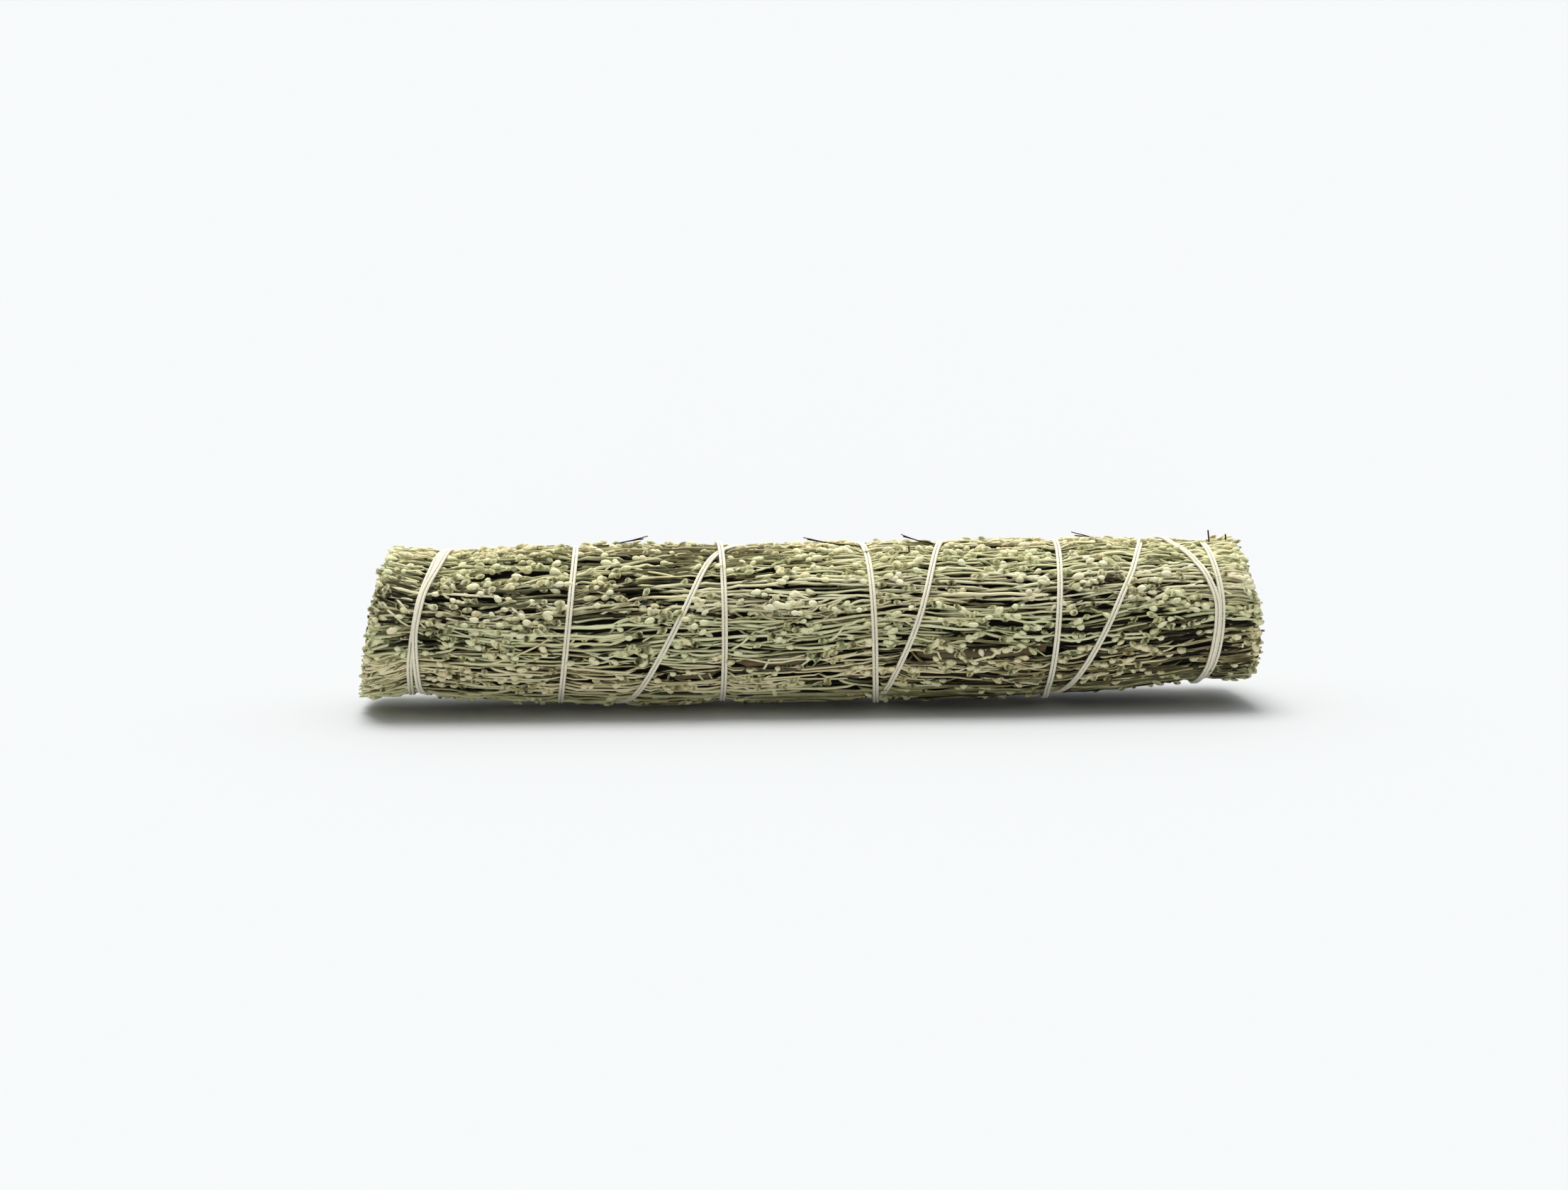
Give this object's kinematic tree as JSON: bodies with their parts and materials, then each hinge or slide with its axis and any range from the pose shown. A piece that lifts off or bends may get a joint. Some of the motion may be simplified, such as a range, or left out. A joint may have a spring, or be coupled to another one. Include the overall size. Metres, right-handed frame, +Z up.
{
  "type": "sage smudge stick",
  "caption": "Bundle of dried sage sprigs laid side by side, cut level at both ends and bound along its length with doubled cotton string.",
  "frame": {"origin": "on the surface that the bundle lies on, at the middle of the flattened strip under it", "axes": "+X along the bundle, to the right as seen from the front; -Y to the front; +Z up"},
  "size_m": [0.2204, 0.0401, 0.0424],
  "materials": {
    "sage_grey_green": "dry, matt grey-green sage stems, leaves and buds",
    "sage_olive": "dry, matt olive sage stems, leaves and buds",
    "sage_tan": "dry, matt tan sage stems, leaves and buds",
    "sage_green": "dry, matt green sage stems, leaves and buds",
    "cut_wood": "woody stem, cut across at both ends",
    "bark": "reddish-brown woody stem",
    "cotton_string": "undyed twisted cotton"
  },
  "bodies": {
    "root": {"sprig_01": "sage_grey_green", "sprig_02": "sage_olive", "sprig_03": "sage_tan", "sprig_04": "sage_green", "sprig_05": "sage_grey_green", "sprig_06": "sage_olive", "sprig_07": "sage_tan", "sprig_08": "sage_green", "sprig_09": "sage_grey_green", "sprig_10": "sage_olive", "sprig_11": "sage_tan", "sprig_12": "sage_green", "inner_sprig_01": "sage_grey_green", "inner_sprig_02": "sage_olive", "inner_sprig_03": "sage_tan", "inner_sprig_04": "sage_green", "inner_sprig_05": "sage_grey_green", "inner_sprig_06": "sage_olive", "heart_stem": "cut_wood", "woody_stem_1": "bark", "woody_stem_2": "bark", "woody_stem_3": "bark", "string": "cotton_string", "string_knot": "cotton_string"}
  },
  "joints": []
}
